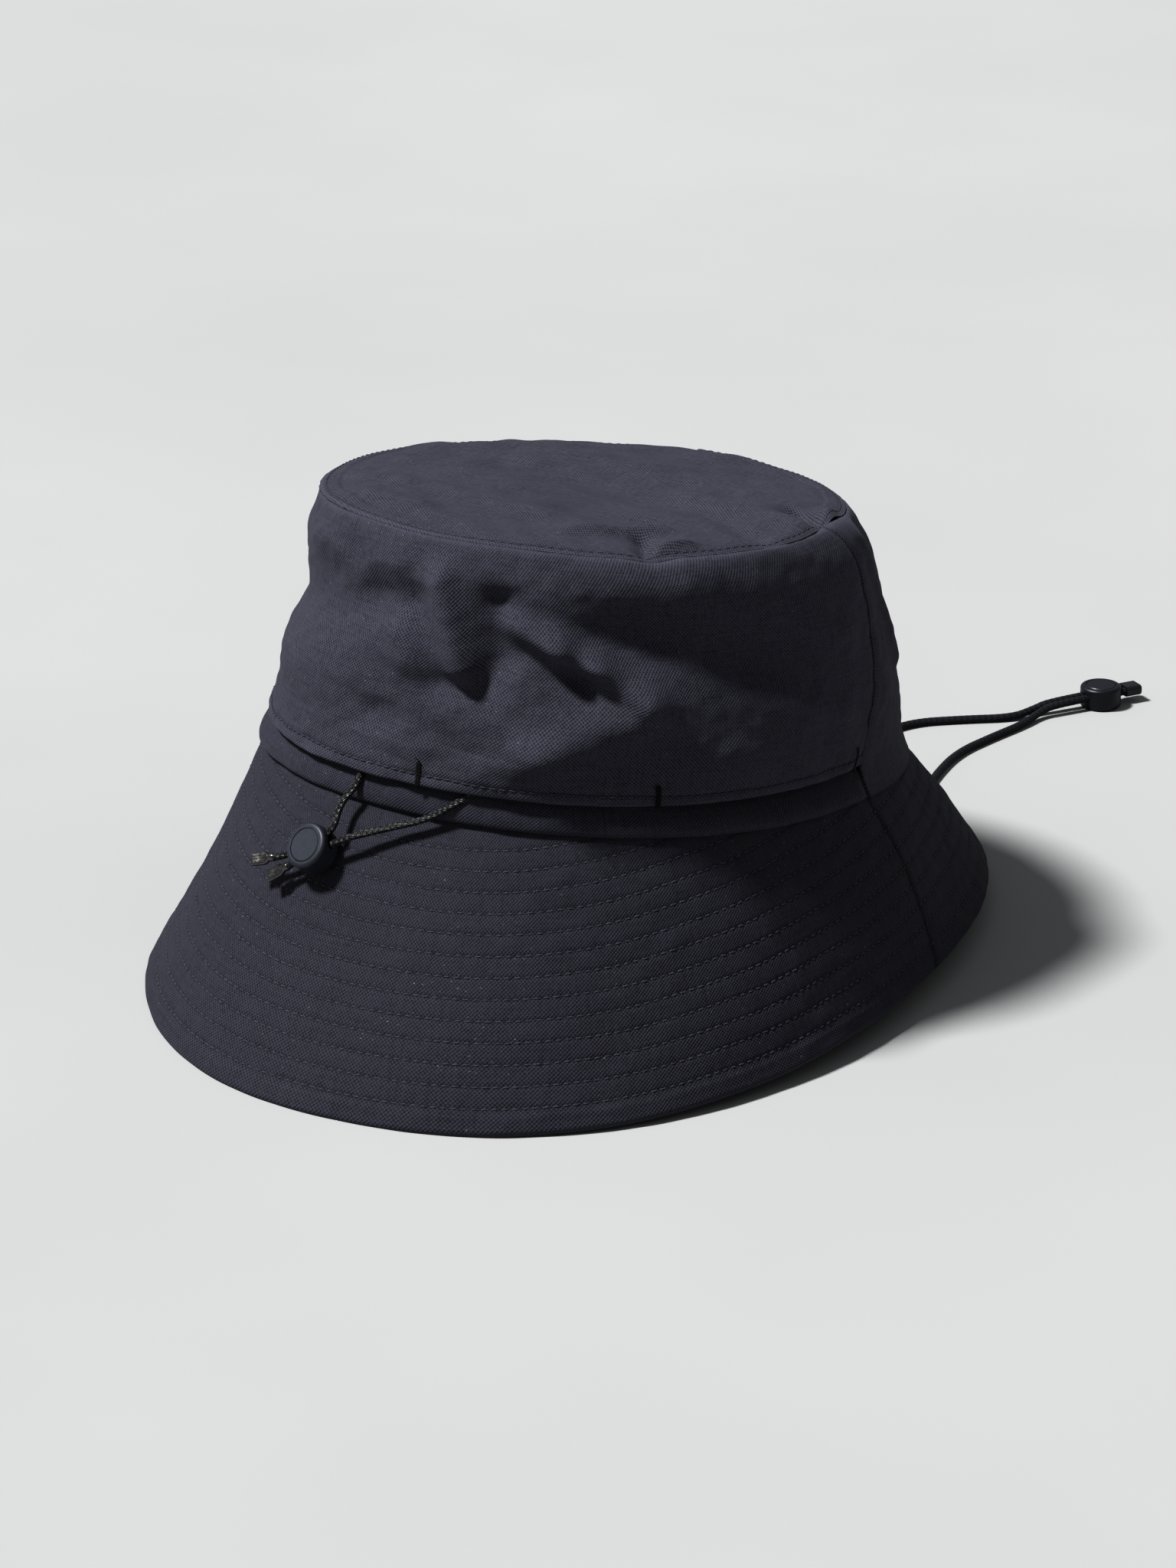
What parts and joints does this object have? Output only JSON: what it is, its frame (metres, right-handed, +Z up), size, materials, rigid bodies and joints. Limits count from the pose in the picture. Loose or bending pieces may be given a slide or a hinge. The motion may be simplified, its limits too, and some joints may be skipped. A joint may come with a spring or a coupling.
{
  "type": "bucket hat",
  "caption": "Bucket hat with a row-stitched sloping brim, an elastic drawcord adjuster with a push-button cord lock at the back, and a chin cord with a matching lock.",
  "frame": {"origin": "centre of the hat's footprint on the surface it stands on, without the free cords", "axes": "+Z up, +Y towards the front of the hat (wearer's view), -Y the back with the adjuster, +X the wearer's right"},
  "size_m": [0.2246, 0.3985, 0.1432],
  "materials": {
    "outer_fabric": "plain-weave cotton and nylon, very dark navy",
    "interlining": "stiffened non-woven",
    "seam_tape": "woven polyester tape",
    "sweatband_knit": "soft twill ribbon",
    "thread": "polyester thread",
    "label": "blank satin label",
    "elastic_cord": "braided cover over rubber",
    "chin_cord": "flat-braided polyester",
    "ferrule_metal": "gunmetal plate",
    "lock_plastic": "soft-touch slate grey",
    "button_plastic": "soft-touch slate grey",
    "spring_steel": "bright wire"
  },
  "bodies": {
    "hat": {"crown_top_panel": "outer_fabric", "crown_back_panel": "outer_fabric", "crown_front_panel": "outer_fabric", "flap_hem": "outer_fabric", "back_band": "outer_fabric", "brim_upper_back": "outer_fabric", "brim_upper_front": "outer_fabric", "brim_under_back": "outer_fabric", "brim_under_front": "outer_fabric", "brim_interlining_back": "interlining", "brim_interlining_front": "interlining", "top_seam_tape": "seam_tape", "side_seam_tape_left": "seam_tape", "side_seam_tape_right": "seam_tape", "sweatband": "sweatband_knit", "bar_tacks": "thread", "care_label": "label", "chin_tab_left": "seam_tape", "chin_tab_right": "seam_tape", "drawcord_tunnel_left": "elastic_cord", "drawcord_tunnel_right": "elastic_cord", "drawcord_left": "elastic_cord", "drawcord_right": "elastic_cord", "ferrule_left": "ferrule_metal", "ferrule_right": "ferrule_metal", "chin_cord_left": "chin_cord", "chin_cord_right": "chin_cord", "chin_cord_end": "lock_plastic"},
    "adjuster_lock": {"adjuster_lock_body": "lock_plastic", "adjuster_lock_spring": "spring_steel"},
    "adjuster_button": {"adjuster_lock_button": "button_plastic"},
    "chin_lock": {"chin_lock_body": "lock_plastic", "chin_lock_spring": "spring_steel"},
    "chin_button": {"chin_lock_button": "button_plastic"}
  },
  "joints": [
    {"name": "adjuster_lock_slide", "type": "slide", "parent": "hat", "child": "adjuster_lock", "axis": [-0.8321, -0.1289, -0.5395], "range_m": [0, 0.0015]},
    {"name": "adjuster_button_press", "type": "slide", "parent": "adjuster_lock", "child": "adjuster_button", "axis": [0.245, 0.7871, -0.5661], "range_m": [0, 0.0012], "stiffness_N_per_m": 900, "deforming": ["adjuster_lock_spring"]},
    {"name": "chin_lock_slide", "type": "slide", "parent": "hat", "child": "chin_lock", "axis": [0.6, 0.8, 0], "range_m": [-0.009, 0.0015]},
    {"name": "chin_button_press", "type": "slide", "parent": "chin_lock", "child": "chin_button", "axis": [0, 0, -1], "range_m": [0, 0.0012], "stiffness_N_per_m": 900, "deforming": ["chin_lock_spring"]}
  ]
}
